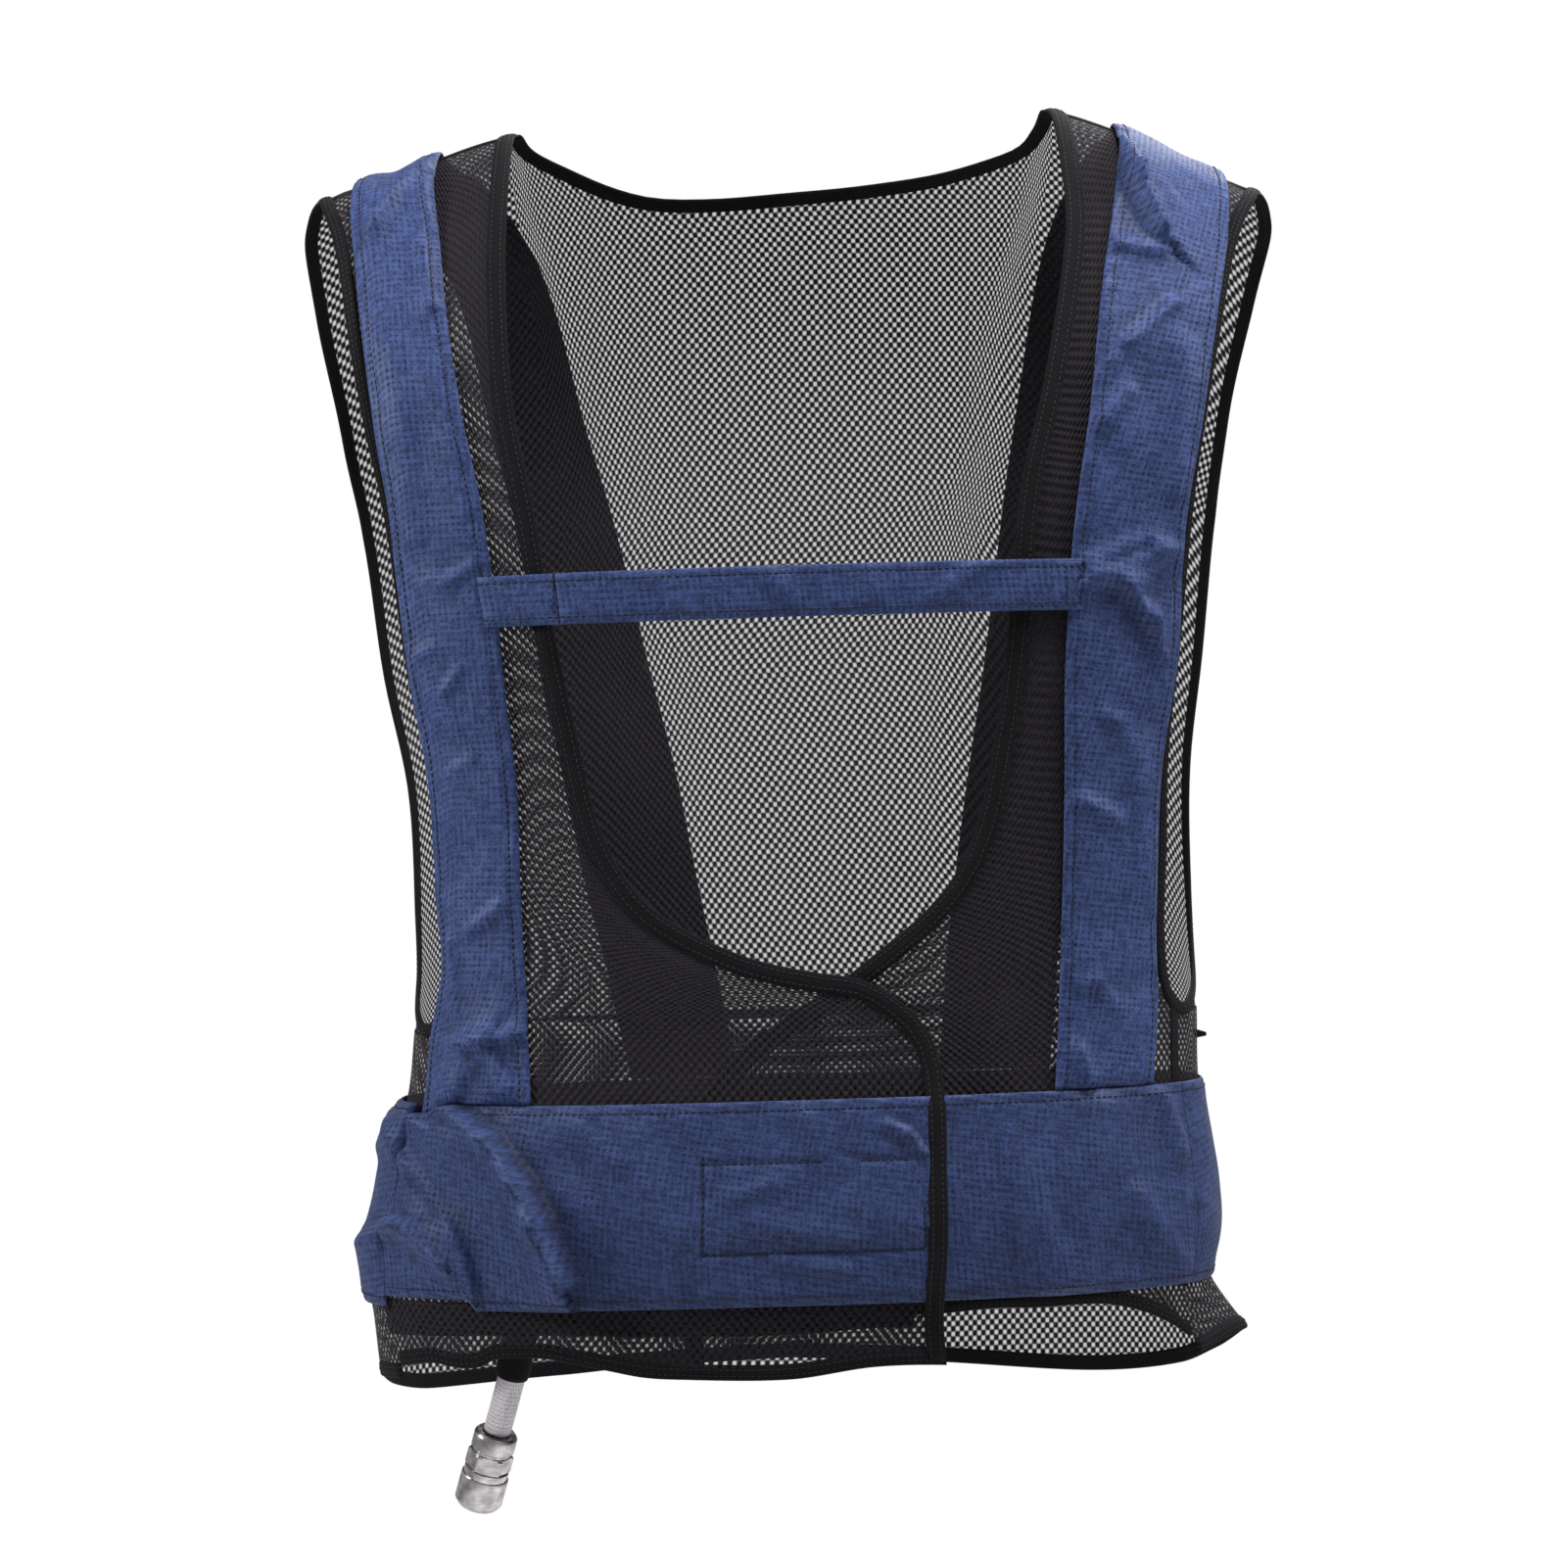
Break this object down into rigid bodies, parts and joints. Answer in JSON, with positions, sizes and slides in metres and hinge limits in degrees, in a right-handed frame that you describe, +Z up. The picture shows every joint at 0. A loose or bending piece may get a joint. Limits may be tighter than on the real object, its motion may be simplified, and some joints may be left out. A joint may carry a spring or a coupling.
{
  "type": "cooling vest",
  "caption": "Sleeveless air-cooling vest of black net with blue air ducts over the shoulders, a waistband, a chest strap and a short air hose with a quick coupler.",
  "frame": {"origin": "mount wearer: between the shoulders that carry the vest, midway between front and back", "axes": "+Z up, -Y out of the front, -X towards the worn vest's right side"},
  "size_m": [0.4913, 0.228, 0.6965],
  "materials": {
    "net": "open knitted net, matte",
    "blue_cloth": "fine spacer cloth with a low sheen",
    "binding": "ribbed tape, matte",
    "hook_tape": "hook tape, matte",
    "hose_braid": "silvery braid over a hose",
    "inlet_plastic": "moulded, matte",
    "coupler_steel": "turned and plated"
  },
  "bodies": {
    "vest": {"back_net": "net", "right_front_net": "net", "left_front_net": "net", "right_duct": "blue_cloth", "left_duct": "blue_cloth", "right_waistband": "blue_cloth", "left_waistband": "blue_cloth", "back_waistband": "blue_cloth", "right_front_binding": "binding", "left_front_binding": "binding", "neck_binding": "binding", "right_armhole_binding": "binding", "left_armhole_binding": "binding", "right_hem_binding": "binding", "left_hem_binding": "binding", "back_hem_binding": "binding", "chest_strap": "blue_cloth", "strap_tab": "blue_cloth", "closure_patch": "hook_tape", "side_tab": "binding", "hose_inlet": "inlet_plastic", "hose": "hose_braid", "hose_sleeve": "binding", "hose_collar": "coupler_steel", "coupler_body": "coupler_steel"},
    "sleeve": {"coupler_sleeve": "coupler_steel"}
  },
  "joints": [
    {"name": "coupler_sleeve_slide", "type": "slide", "parent": "vest", "child": "sleeve", "axis": [0.2575, -0.309, 0.9155], "range_m": [0, 0.003], "stiffness_N_per_m": 1500, "springref_m": -0.002}
  ]
}
